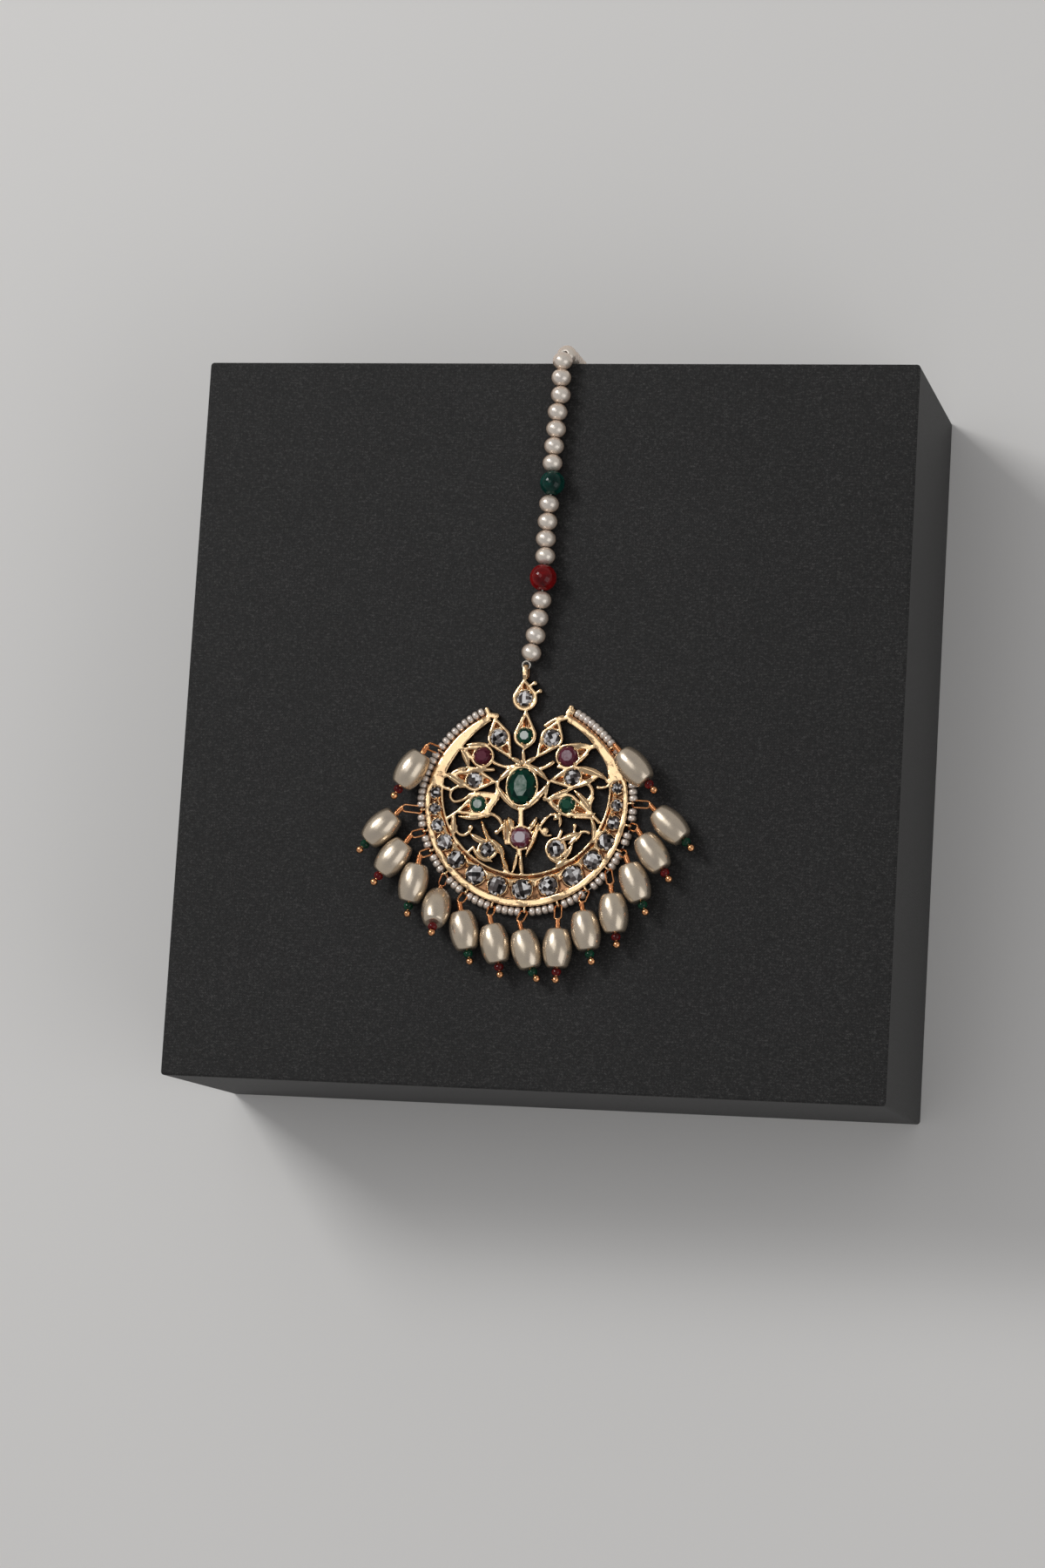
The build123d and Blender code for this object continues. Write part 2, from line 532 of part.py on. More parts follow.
def save_drops():
    accents = {"red": [], "green": []}
    for index, (angle, x, y, height, heading, rise, lean) in enumerate(DROPS):
        number = f"{index + 1:02d}"
        middle = Vector(x, y, TOP + height)
        axis = drop_axis(heading, rise)
        pearl = barrel(PEARL_R, PEARL_HALF * PEARL_SHOULDER, PEARL_HALF, PEARL_BORE, PEARL_END_FILLET)
        save(along(middle, axis) * pearl, f"drop_pearl_{number}")

        eye = Vector(*polar(RIM, rim_at(angle) + EYE_REACH + 0.1, angle), TOP + EYE_Z)
        top = middle - axis * (PEARL_HALF + GAP)
        neck = min(1.8, max(0.7, (top - eye).length - 2.3))
        collar = top - axis * neck
        foot = middle + axis * (PEARL_HALF + GAP)
        tail = drop_axis(heading + lean, rise)
        ball = foot + tail * (ACCENT_LENGTH + GAP + BALL_R)
        reach = (foot - collar).length
        tail_length = ACCENT_LENGTH + BALL_R
        pieces = [drop_loop(eye, collar), rod(collar, axis, NECK_R, neck), Pos(*ball) * Sphere(BALL_R)]
        if lean:
            pieces += [rod(collar, axis, PIN_R, reach), Pos(*foot) * Sphere(PIN_R)]
            pieces.append(rod(foot, tail, PIN_R, tail_length))
        else:
            pieces.append(rod(collar, axis, PIN_R, reach + tail_length))
        save(joined(pieces), f"drop_pin_{number}")

        bead = drilled_bead(ACCENT_R, ACCENT_LENGTH / 2, PIN_R + 0.12)
        place = along(foot + tail * (ACCENT_LENGTH / 2), tail)
        accents["red" if index % 2 == 0 else "green"].append(place * bead)
    for colour, beads in accents.items():
        save(Compound(children=beads), f"accent_beads_{colour}")


# ---- string -------------------------------------------------------------------------------
BEAD_SIZES = {
    "pearl": (STRING_PEARL_R, STRING_PEARL_HALF, BEAD_BORE),
    "green": (GREEN_BEAD_R, GREEN_BEAD_HALF, BIG_BEAD_BORE),
    "red": (RED_BEAD_R, RED_BEAD_HALF, BIG_BEAD_BORE),
}


def string_points():
    """Bead centres in order, on the box and then hanging behind it."""
    points = [Vector(x, y, TOP + BEAD_SIZES[kind][0] + lift) for kind, x, y, lift in STRING]
    hanging = [Vector(HANGING_X, HANGING_Y, HANGING_TOP - PITCH * step) for step in range(HANGING_COUNT)]
    return points, hanging


def save_string():
    laid, hanging = string_points()
    points = laid + hanging
    kinds = [row[0] for row in STRING] + ["pearl"] * len(hanging)
    loop_centre = Vector(BAIL_X, BAIL_HIGH - BAIL_WALL / 2, TOP + END_LOOP_LEVEL)
    pearls = []
    for index, (kind, point) in enumerate(zip(kinds, points)):
        before = points[index - 1] if index else loop_centre
        after = points[index + 1] if index + 1 < len(points) else point - Vector(0, 0, 1)
        if point in hanging:
            axis = Vector(0, 0, -1)
        else:
            back, ahead = (point - before).normalized(), (after - point).normalized()
            axis = back + ahead if index + 1 < len(laid) else back
        bead = along(point, axis) * drilled_bead(*BEAD_SIZES[kind])
        if kind == "pearl":
            pearls.append(bead)
        else:
            save(bead, f"string_bead_{kind}")
    save(Compound(children=pearls), "string_pearls")
    save_thread(loop_centre, laid, hanging)


def save_thread(loop_centre, laid, hanging):
    """The thread: a loop round the bail, the run through the beads, and a loop for the hook."""
    corner = Vector(HANGING_X, HANGING_Y, laid[-1].Z)
    bottom = hanging[-1] - Vector(0, 0, STRING_PEARL_HALF + 0.6)
    start = loop_centre + (laid[0] - loop_centre).normalized() * END_LOOP_R
    route = [start] + laid + [corner, bottom]
    radii = [4.0] * len(laid) + [EDGE_BEND_R]
    path = FilletPolyline(*route, radius=radii)
    profile = Plane(origin=path @ 0, z_dir=path % 0) * Circle(THREAD_R)
    run = sweep(profile, path=path)
    end_loop = Torus(END_LOOP_R, END_LOOP_WIRE_R)
    bail_loop = Pos(*loop_centre) * end_loop
    hook_loop = Pos(*(bottom - Vector(0, 0, END_LOOP_R))) * Rot(0, 90, 0) * end_loop
    print("thread length", round(path.length, 1), "swept volume", round(run.volume, 2),
          "expected", round(pi * THREAD_R**2 * path.length, 2))
    save(joined([run, bail_loop, hook_loop]), "string_thread")
    save_hair_hook(bottom - Vector(0, 0, 2 * END_LOOP_R))


def save_hair_hook(loop_bottom):
    """A plain wire hook that hangs from the thread's end loop, flat to the box's back."""
    x, y = loop_bottom.X, loop_bottom.Y
    eye_z = loop_bottom.Z - (HOOK_EYE_R - HOOK_WIRE_R) + 0.35
    low = eye_z - HOOK_EYE_R - HOOK_SHANK
    point_x = x + 2 * HOOK_BEND_R
    shank = Line((x, y, eye_z - HOOK_EYE_R), (x, y, low))
    bend = ThreePointArc((x, y, low), (x + HOOK_BEND_R, y, low - HOOK_BEND_R), (point_x, y, low))
    point = Line((point_x, y, low), (point_x, y, low + HOOK_POINT))
    path = Wire([shank, bend, point])
    profile = Plane(origin=path @ 0, z_dir=path % 0) * Circle(HOOK_WIRE_R)
    wire = sweep(profile, path=path)
    eye = Pos(x, y, eye_z) * Rot(90, 0, 0) * Torus(HOOK_EYE_R, HOOK_WIRE_R)
    tip = Pos(point_x, y, low + HOOK_POINT) * Sphere(HOOK_WIRE_R)
    save(joined([wire, eye, tip]), "hair_hook")


save(make_display_box(), "display_box")
save(make_pendant_frame(), "pendant_frame")
save_stones()
save_drops()
save_string()
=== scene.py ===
import math
import random

import bmesh
import bpy
from mathutils import Matrix, Vector


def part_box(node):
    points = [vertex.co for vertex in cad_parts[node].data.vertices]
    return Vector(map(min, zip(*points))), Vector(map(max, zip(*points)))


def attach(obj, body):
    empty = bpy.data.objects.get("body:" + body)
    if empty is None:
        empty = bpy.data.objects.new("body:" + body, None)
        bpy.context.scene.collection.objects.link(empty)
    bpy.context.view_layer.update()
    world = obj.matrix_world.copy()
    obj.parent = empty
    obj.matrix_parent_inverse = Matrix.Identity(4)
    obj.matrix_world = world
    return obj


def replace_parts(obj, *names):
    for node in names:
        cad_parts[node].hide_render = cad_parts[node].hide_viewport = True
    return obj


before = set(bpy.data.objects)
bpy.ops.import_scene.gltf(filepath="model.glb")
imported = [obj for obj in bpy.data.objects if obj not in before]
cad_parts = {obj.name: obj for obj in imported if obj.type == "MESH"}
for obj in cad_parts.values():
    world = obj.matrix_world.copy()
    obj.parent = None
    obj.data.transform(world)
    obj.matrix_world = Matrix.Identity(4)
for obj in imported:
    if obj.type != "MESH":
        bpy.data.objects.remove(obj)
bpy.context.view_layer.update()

MM = 0.001
BOX_LOW, BOX_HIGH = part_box("display_box")
BOX_TOP = BOX_HIGH[2]
FRAME_LOW, FRAME_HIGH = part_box("pendant_frame")
GOLD_FLOOR = FRAME_LOW[2]

# The crescent's rim, and the circles that trim it towards its ends: x, y, radius.
RIM = (-0.95 * MM, -16.95 * MM)
RIM_R = 21.05 * MM
RIM_SIDES = [(0.15 * MM, -18.99 * MM, 22.66 * MM), (-7.71 * MM, -25.78 * MM, 31.01 * MM)]
# How far outside the rim the eyes and the seed beads lie, and the eyes' level on the gold.
EYE_REACH = 0.8 * MM
EYE_LEVEL = 1.0 * MM
SEED_REACH = 1.02 * MM
# The angle of every eye on the rim with the number of seed beads that follow it
# anticlockwise. The first and last rows are the eyes at the crescent's tips.
EYES = [
    (117.0, 9), (151.0, 9), (184.9, 2), (196.6, 2), (207.9, 3), (222.8, 3), (238.3, 4),
    (254.3, 4), (272.5, 4), (290.9, 4), (308.0, 3), (323.9, 3), (335.4, 2), (349.6, 2),
    (361.6, 9), (394.8, 9), (425.5, 0),
]
# Seed beads: radius, half length, hole, the step from bead to bead, and the room for an eye.
SEED_R = 0.95 * MM
SEED_HALF = 0.62 * MM
SEED_HOLE = 0.22 * MM
SEED_PITCH = 1.34 * MM
SEED_ROOM = 0.75 * MM
SEED_THREAD_R = 0.09 * MM
# Prongs: radius, and how far their middles lie outside and above a stone's edge.
PRONG_R = 0.24 * MM
PRONG_OUT = 0.02 * MM
PRONG_UP = 0.12 * MM
# Drops: from a pearl's middle to its wire, and the wire's turns round the neck.
DROP_COUNT = 15
PEARL_END = 4.1 * MM
WRAP_WIRE_R = 0.13 * MM
WRAP_R = 0.47 * MM
WRAP_SHORTEST = 0.7 * MM
WRAP_LONGEST = 1.8 * MM
LOOP_LENGTH = 2.3 * MM


# ---- node helpers -------------------------------------------------------------------------
class Material:
    """A node material with short calls for adding and linking nodes."""

    def __init__(self, name, base=None, **sockets):
        self.data = bpy.data.materials.new(name)
        self.data.use_nodes = True
        self.tree = self.data.node_tree
        self.shader = self.tree.nodes["Principled BSDF"]
        if base:
            self.shader.inputs["Base Color"].default_value = (*base, 1)
        for socket, value in sockets.items():
            self.shader.inputs[socket.replace("_", " ")].default_value = value

    def add(self, kind, **inputs):
        """A node; a keyword sets a property, or a socket by name or by its number as in s0."""
        node = self.tree.nodes.new(kind)
        for name, value in inputs.items():
            if name[0] == "s" and name[1:].isdigit():
                socket = node.inputs[int(name[1:])]
            elif name in node.bl_rna.properties and not hasattr(value, "is_output"):
                setattr(node, name, value)
                continue
            else:
                socket = node.inputs[name.replace("_", " ")]
            if hasattr(value, "is_output"):
                self.tree.links.new(value, socket)
            else:
                socket.default_value = value
        return node

    def link(self, output, socket):
        self.tree.links.new(output, self.shader.inputs[socket])

    def place(self):
        return self.add("ShaderNodeTexCoord").outputs["Object"]

    def noise(self, scale, detail=2.0, roughness=0.5, vector=None):
        node = self.add("ShaderNodeTexNoise", Scale=scale, Detail=detail, Roughness=roughness)
        self.tree.links.new(vector or self.place(), node.inputs["Vector"])
        return node.outputs["Fac"]

    def ramp(self, value, *stops):
        """A colour ramp; each stop is a position and a colour."""
        node = self.add("ShaderNodeValToRGB", Fac=value)
        elements = node.color_ramp.elements
        while len(elements) < len(stops):
            elements.new(0.5)
        for element, (position, colour) in zip(elements, stops):
            element.position = position
            element.color = (*colour, 1) if len(colour) == 3 else colour
        return node.outputs["Color"]

    def mix(self, share, first, second, blend="MIX"):
        node = self.add("ShaderNodeMix", data_type="RGBA", blend_type=blend)
        for socket, value in ((0, share), (6, first), (7, second)):
            if hasattr(value, "is_output"):
                self.tree.links.new(value, node.inputs[socket])
            elif socket:
                node.inputs[socket].default_value = (*value, 1)
            else:
                node.inputs[socket].default_value = value
        return node.outputs[2]

    def math(self, operation, first, second=0.0):
        return self.add("ShaderNodeMath", operation=operation, s0=first, s1=second).outputs[0]

    def span(self, value, low, high, to_low=0.0, to_high=1.0):
        node = self.add("ShaderNodeMapRange", s0=value, s1=low, s2=high, s3=to_low, s4=to_high)
        return node.outputs[0]

    def bump(self, height, distance, under=None):
        node = self.add("ShaderNodeBump", Height=height, Distance=distance, Strength=1.0)
        if under:
            self.tree.links.new(under, node.inputs["Normal"])
        self.link(node.outputs["Normal"], "Normal")
        return node.outputs["Normal"]


# ---- materials ----------------------------------------------------------------------------
def book_cloth():
    """Black book cloth: a fine plain weave with uneven threads and a dull sheen."""
    thread = 0.26 * MM
    cloth = Material("book_cloth", Specular_IOR_Level=0.25, Sheen_Weight=0.06, Sheen_Roughness=0.5)
    place = cloth.place()
    wobble = cloth.add("ShaderNodeTexNoise", Scale=1300.0, Detail=2.0, Vector=place)
    shifted = cloth.add(
        "ShaderNodeVectorMath", operation="MULTIPLY_ADD",
        s0=wobble.outputs["Color"], s1=(0.4 * MM,) * 3,
    )
    cloth.tree.links.new(place, shifted.inputs[2])
    turned = cloth.add("ShaderNodeVectorMath", operation="SCALE", s0=shifted.outputs[0])
    turned.inputs["Scale"].default_value = math.pi / thread
    waves = cloth.add("ShaderNodeVectorMath", operation="SINE", s0=turned.outputs[0]).outputs[0]
    parts = cloth.add("ShaderNodeSeparateXYZ", s0=waves).outputs
    across = cloth.math("MULTIPLY", parts[0], parts[1])
    side = cloth.math("MULTIPLY", parts[1], parts[2])
    end = cloth.math("MULTIPLY", parts[2], parts[0])
    weave = cloth.math("ADD", across, cloth.math("ADD", side, end))
    slubs = cloth.add(
        "ShaderNodeVectorMath", operation="MULTIPLY", s0=place, s1=(900.0, 2800.0, 2800.0)
    )
    slub = cloth.noise(1.0, 3.0, 0.7, slubs.outputs[0])
    grain = cloth.noise(2400.0, 2.0, 0.6)
    patches = cloth.noise(30.0, 3.0, 0.6)
    rough = cloth.math("ADD", slub, grain)
    height = cloth.math("ADD", cloth.math("MULTIPLY", weave, 0.25), rough)
    # Painted shade: the thread colour darkens where the weave dips, over the threads' random tone.
    shade = cloth.math("ADD", cloth.math("MULTIPLY", weave, 0.08), rough)
    threads = cloth.ramp(
        cloth.span(shade, 0.7, 1.4),
        (0.0, (0.008, 0.0078, 0.0076)), (0.5, (0.020, 0.0195, 0.019)), (1.0, (0.070, 0.068, 0.066)),
    )
    wear_and_painted_light = cloth.ramp(patches, (0.3, (0.88, 0.88, 0.88)), (0.7, (1.0, 1.0, 1.0)))
    cloth.link(cloth.mix(1.0, threads, wear_and_painted_light, "MULTIPLY"), "Base Color")
    cloth.link(cloth.span(slub, 0.3, 0.7, 0.55, 0.75), "Roughness")
    cloth.bump(height, 0.05 * MM)
    return cloth.data


def gold(name, bright, rose, low, high):
    """Hand-polished gilt metal; its colour holds painted shade, rosy and dark, low down and in
    hollows, and painted highlight on the crests.
    """
    metal = Material(name, Metallic=1.0)
    depth = metal.add("ShaderNodeSeparateXYZ", s0=metal.place()).outputs[2]
    edges = metal.add("ShaderNodeNewGeometry").outputs["Pointiness"]
    patches = metal.noise(230.0, 3.0, 0.6)
    # Painted light: low places and concave spots get painted shade, high places and convex edges a
    # painted highlight.
    wear_and_painted_light = metal.math("ADD", metal.span(depth, low, high), metal.span(edges, 0.44, 0.56, -0.3, 0.3))
    painted_light_and_patches = metal.math("ADD", wear_and_painted_light, metal.span(patches, 0.3, 0.7, -0.15, 0.15))
    # dark is the colour of the painted shade in the deepest hollows; the random patches are the
    # metal's own tone.
    dark = tuple(0.3 * channel for channel in rose)
    tones = metal.ramp(painted_light_and_patches, (0.0, dark), (0.45, rose), (0.85, bright))
    metal.link(tones, "Base Color")
    scratches = metal.noise(1500.0, 4.0, 0.7)
    metal.link(metal.span(scratches, 0.3, 0.75, 0.08, 0.26), "Roughness")
    waves = metal.bump(metal.noise(260.0, 1.0), 0.6 * MM)
    dents = metal.bump(metal.noise(900.0, 2.0), 0.08 * MM, waves)
    metal.bump(scratches, 0.003 * MM, dents)
    return metal.data


def pearl(name, body, rim, gloss, metallic):
    """Pearl lustre: a silky mirror under a thin clear coat, with painted shade that makes its
    colour darker and warmer at the edges.
    """
    shell = Material(name, Metallic=metallic, Coat_Weight=1.0, Coat_Roughness=gloss, Coat_IOR=1.6)
    facing = shell.add("ShaderNodeLayerWeight", Blend=0.4).outputs["Facing"]
    cloud = shell.noise(420.0, 3.0, 0.6)
    # Painted shade: the colour turns to the rim colour towards the edges seen from the camera.
    painted_edge_shade = shell.mix(shell.span(facing, 0.1, 0.95), body, rim)
    tint = shell.ramp(cloud, (0.3, (0.90, 0.90, 0.92)), (0.7, (1.0, 1.0, 0.98)))
    shell.link(shell.mix(1.0, painted_edge_shade, tint, "MULTIPLY"), "Base Color")
    shell.link(shell.span(cloud, 0.3, 0.7, 0.22, 0.32), "Roughness")
    shell.bump(cloud, 0.02 * MM)
    return shell.data


def gem(name, dark, light, pale):
    """A foil-backed cut stone under a hard polish: each facet's colour is a painted reflection,
    light or dark, and a pale table is a painted reflection of the light above.
    """
    stone = Material(name, Roughness=0.03, IOR=1.4, Specular_IOR_Level=0.2)
    facet = stone.add("ShaderNodeAttribute", attribute_name="facet").outputs["Fac"]
    flaws = stone.noise(1500.0, 3.0, 0.6)
    share = stone.math("ADD", facet, stone.span(flaws, 0.3, 0.7, -0.06, 0.06))
    # The facet value picks a painted reflection between dark and light; pale, at the ramp's top, is
    # a table's painted reflection.
    stone.link(stone.ramp(share, (0.05, dark), (0.65, light), (0.97, pale)), "Base Color")
    return stone.data


def bead_glass(name, dark, light):
    """Clear coloured glass with fine bubbles and painted light: its colour grows lighter towards
    the edges seen from the camera.
    """
    glass = Material(name, Roughness=0.04, Specular_IOR_Level=0.3)
    swirl = glass.noise(420.0, 3.0, 0.65)
    facing = glass.add("ShaderNodeLayerWeight", Blend=0.5).outputs["Facing"]
    # Painted light: rim lifts the colour towards the edges seen from the camera.
    rim = glass.math("MULTIPLY", facing, 0.45)
    share = glass.math("ADD", rim, glass.span(swirl, 0.3, 0.7, 0.0, 0.5))
    glass.link(glass.ramp(share, (0.1, dark), (0.9, light)), "Base Color")
    glass.shader.inputs["Subsurface Weight"].default_value = 0.2
    glass.shader.inputs["Subsurface Radius"].default_value = tuple(0.2 + 2 * c for c in light)
    glass.shader.inputs["Subsurface Scale"].default_value = 1.2 * MM
    return glass.data


def twine():
    """Pale twisted thread."""
    thread = Material("thread", Roughness=0.75, Sheen_Weight=0.2)
    twist = thread.add(
        "ShaderNodeTexWave", Scale=900.0, Distortion=1.5, Detail=1.0, bands_direction="DIAGONAL",
        Vector=thread.place(),
    ).outputs["Fac"]
    strands = thread.ramp(twist, (0.0, (0.52, 0.48, 0.42)), (1.0, (0.84, 0.81, 0.74)))
    thread.link(strands, "Base Color")
    thread.bump(twist, 0.03 * MM)
    return thread.data


# The last two values of a gold are the heights from its rosy painted shade to its bright painted
# highlight.
CRESTS = GOLD_FLOOR + 2 * MM
GOLD = gold(
    "gilt_gold", (0.93, 0.65, 0.37), (0.70, 0.36, 0.18), GOLD_FLOOR + 0.78 * MM, CRESTS
)
WIRE_GOLD = gold("copper_gold_wire", (0.88, 0.43, 0.20), (0.66, 0.26, 0.12), GOLD_FLOOR, CRESTS)
HOOK_GOLD = gold("hook_gold", (0.93, 0.68, 0.36), (0.80, 0.43, 0.25), 0.0, 20 * MM)
CLOTH = book_cloth()
# A pearl's second colour is the painted shade at its edges.
DROP_PEARL = pearl("drop_pearl", (0.77, 0.65, 0.50), (0.38, 0.26, 0.15), 0.10, 0.75)
STRING_PEARL = pearl("string_pearl", (0.92, 0.83, 0.73), (0.64, 0.39, 0.23), 0.08, 0.45)
SEED_PEARL = pearl("seed_bead", (0.84, 0.74, 0.65), (0.44, 0.34, 0.26), 0.08, 0.4)
# A stone's colours: per facet a painted reflection between the first two, and on a table the third,
# a painted reflection of the light above.
GREEN_STONE = gem("green_stone", (0.001, 0.018, 0.013), (0.002, 0.066, 0.033), (0.56, 0.60, 0.56))
RUBY = gem("ruby", (0.045, 0.002, 0.007), (0.150, 0.030, 0.052), (0.52, 0.46, 0.49))
CLEAR_STONE = gem("clear_stone", (0.006, 0.005, 0.005), (0.13, 0.11, 0.105), (0.86, 0.84, 0.83))
RED_ACCENT = bead_glass("red_accent", (0.05, 0.0, 0.001), (0.26, 0.008, 0.010))
GREEN_ACCENT = bead_glass("green_accent", (0.0, 0.014, 0.007), (0.003, 0.10, 0.045))
RED_BEAD = bead_glass("red_bead", (0.06, 0.0, 0.001), (0.34, 0.006, 0.006))
GREEN_BEAD = bead_glass("green_bead", (0.0, 0.010, 0.008), (0.002, 0.07, 0.05))
THREAD = twine()


# ---- mesh helpers -------------------------------------------------------------------------
def add_piece(name, mesh, material):
    """A visible piece that rides on the part's one body."""
    piece = bpy.data.objects.new(name, mesh)
    bpy.context.scene.collection.objects.link(piece)
    mesh.materials.clear()
    mesh.materials.append(material)
    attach(piece, "root")
    return piece


def mesh_from(name, build, smooth=True):
    """A mesh that build fills in as a bmesh."""
    shape = bmesh.new()
    build(shape)
    mesh = bpy.data.meshes.new(name)
    shape.to_mesh(mesh)
    shape.free()
    mesh.polygons.foreach_set("use_smooth", [smooth] * len(mesh.polygons))
    return mesh


def solids(node):
    """Lowest and highest corner of every loose solid of a CAD node."""
    shape = bmesh.new()
    shape.from_mesh(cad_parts[node].data)
    bmesh.ops.remove_doubles(shape, verts=shape.verts, dist=1e-7)
    boxes, seen = [], set()
    for start in shape.verts:
        if start in seen:
            continue
        seen.add(start)
        queue, island = [start], [start]
        while queue:
            for edge in queue.pop().link_edges:
                for vertex in edge.verts:
                    if vertex not in seen:
                        seen.add(vertex)
                        queue.append(vertex)
                        island.append(vertex)
        places = [vertex.co for vertex in island]
        low = Vector([min(place[k] for place in places) for k in range(3)])
        high = Vector([max(place[k] for place in places) for k in range(3)])
        boxes.append((low, high))
    shape.free()
    return boxes


def axis_of(node):
    """Middle and long direction of a CAD pearl, which is round about that direction."""
    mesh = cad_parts[node].data
    low, high = (Vector(corner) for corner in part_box(node))
    middle = (low + high) / 2
    far = max((vertex.co - middle for vertex in mesh.vertices), key=lambda way: way.length)
    ends = [v.co - middle for v in mesh.vertices if (v.co - middle).length > 0.985 * far.length]
    ends = [way if way.dot(far) > 0 else -way for way in ends]
    return middle, sum(ends, Vector()).normalized()


def spun(shape, profile, place, steps):
    """A closed ring profile of (radius, height) pairs turned about the placement's Z."""
    rows = []
    for step in range(steps):
        angle = 2 * math.pi * step / steps
        rows.append([
            shape.verts.new(place @ Vector((r * math.cos(angle), r * math.sin(angle), h)))
            for r, h in profile
        ])
    for step in range(steps):
        near, far = rows[step], rows[(step + 1) % steps]
        for k in range(len(profile)):
            nxt = (k + 1) % len(profile)
            shape.faces.new((near[k], far[k], far[nxt], near[nxt]))


def ball(shape, centre, radius, across=10, up=7):
    """A small round ball."""
    bmesh.ops.create_uvsphere(
        shape, u_segments=across, v_segments=up, radius=radius, matrix=Matrix.Translation(centre)
    )


def facing(direction):
    """A turn that takes Z to a direction."""
    return direction.to_track_quat("Z", "Y").to_matrix().to_4x4()


def tube(name, points, radius, material, cyclic=False, sides=3):
    """A smooth round wire through points."""
    curve = bpy.data.curves.new(name, "CURVE")
    curve.dimensions = "3D"
    curve.bevel_depth = radius
    curve.bevel_resolution = sides
    curve.resolution_u = 6
    spline = curve.splines.new("NURBS")
    spline.points.add(len(points) - 1)
    for point, place in zip(spline.points, points):
        point.co = (*place, 1)
    spline.order_u = 4 if len(points) > 3 else len(points)
    spline.use_cyclic_u = cyclic
    spline.use_endpoint_u = not cyclic
    curve.use_fill_caps = True
    piece = bpy.data.objects.new(name, curve)
    bpy.context.scene.collection.objects.link(piece)
    curve.materials.append(material)
    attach(piece, "root")
    return piece


# ---- stones -------------------------------------------------------------------------------
def gem_mesh(name, corners, shades, seed):
    """A faceted stone: the convex hull of its corners, each facet with its own shade of painted
    reflection.
    """
    def build(shape):
        for corner in corners:
            shape.verts.new(corner)
        bmesh.ops.convex_hull(shape, input=shape.verts)
        bmesh.ops.dissolve_limit(shape, angle_limit=0.01, verts=shape.verts, edges=shape.edges)

    mesh = mesh_from(name, build, smooth=False)
    draw = random.Random(seed)
    facet = mesh.attributes.new("facet", "FLOAT", "FACE")
    for polygon, item in zip(mesh.polygons, facet.data):
        item.value = shades(draw, polygon.normal)
    return mesh


def ring_of(middle, half_x, half_y, share, level, count, turn=0.0):
    """Places round an oval at a level; share scales the oval."""
    angles = [2 * math.pi * (step + turn) / count for step in range(count)]
    across, along = half_x * share, half_y * share
    return [
        Vector((middle.x + across * math.cos(angle), middle.y + along * math.sin(angle), level))
        for angle in angles
    ]


def stone_levels(low, high):
    """Middle, half widths, and heights: back, girdle's two edges, crown and table."""
    middle = (low + high) / 2
    half = (high - low) / 2
    level = [low.z + (high.z - low.z) * share for share in (0.0, 0.38, 0.5, 0.82, 1.0)]
    return middle, half, level


def table_of(low, high):
    """Shares of the half widths taken by the table, which is slimmer on an oval stone."""
    return (0.58, 0.58) if high.y - low.y < 1.1 * (high.x - low.x) else (0.47, 0.62)


def table_cut(low, high, table, count=8):
    """Corners of a table-cut stone: an eight-sided table in a ring of star and kite facets."""
    middle, half, level = stone_levels(low, high)
    corners = ring_of(middle, half.x, half.y, 0.6, level[0], count)
    corners += ring_of(middle, half.x, half.y, 1.0, level[1], 2 * count)
    corners += ring_of(middle, half.x, half.y, 1.0, level[2], 2 * count)
    corners += ring_of(middle, half.x, half.y, 0.83, level[3], count)
    corners += ring_of(middle, half.x * table[0], half.y * table[1], 1.0, level[4], count, 0.5)
    return corners


def checker_cut(low, high, turn):
    """Corners of a checker-cut stone: square facets over a low dome."""
    middle, half, level = stone_levels(low, high)
    corners = ring_of(middle, half.x, half.y, 0.6, level[0], 8)
    corners += ring_of(middle, half.x, half.y, 1.0, level[1], 16)
    corners += ring_of(middle, half.x, half.y, 1.0, level[2], 16)
    cosine, sine = math.cos(turn), math.sin(turn)
    steps = (-0.675, -0.225, 0.225, 0.675)
    for u in steps:
        for v in steps:
            reach = u * u + v * v
            if reach < 0.8:
                x, y = u * cosine - v * sine, u * sine + v * cosine
                z = level[4] - (level[4] - level[2]) * 0.72 * reach
                corners.append(Vector((middle.x + half.x * x, middle.y + half.y * y, z)))
    return corners


def coloured_shade(low, high, table):
    """Painted reflections of a coloured stone: the crown's shades at random between two, the
    table's set apart.
    """
    def shade(draw, normal):
        return table if normal.z > 0.99 else draw.uniform(low, high)
    return shade


def clear_shade(draw, normal):
    """Painted reflections of clear facets over their foil: each at random from nearly black to
    nearly white.
    """
    return draw.choice((0.0, 0.1, 0.2, 0.3, 0.45, 0.6, 0.7, 0.8, 0.92, 1.0))


# Columns: node, material, slot, and the look: the turn of the checker facets, or three shades
# of painted reflection on a table cut, lowest and highest of the crown and that of the table;
# each stone has its own, so some stones are painted lighter or darker than others.
STONES = [
    ("stone_top_drop", CLEAR_STONE, "clear_stone", 0.0),
    ("stone_upper_left", CLEAR_STONE, "clear_stone", 0.6),
    ("stone_upper_right", CLEAR_STONE, "clear_stone", 0.5),
    ("stone_mid_left", CLEAR_STONE, "clear_stone", 0.1),
    ("stone_mid_right", CLEAR_STONE, "clear_stone", 0.3),
    ("stone_bottom_left", CLEAR_STONE, "clear_stone", 0.9),
    ("stone_bottom_right", CLEAR_STONE, "clear_stone", 0.2),
    ("stone_green_top", GREEN_STONE, "green_stone", (0.1, 0.7, 0.98)),
    ("stone_green_left", GREEN_STONE, "green_stone", (0.3, 0.75, 0.88)),
    ("stone_green_right", GREEN_STONE, "green_stone", (0.2, 0.75, 0.6)),
    ("stone_centre", GREEN_STONE, "green_stone", (0.0, 0.45, 0.75)),
    ("stone_ruby_left", RUBY, "ruby_stone", (0.15, 0.5, 0.45)),
    ("stone_ruby_right", RUBY, "ruby_stone", (0.3, 0.7, 0.77)),
    ("stone_ruby_bottom", RUBY, "ruby_stone", (0.5, 0.8, 1.04)),
]


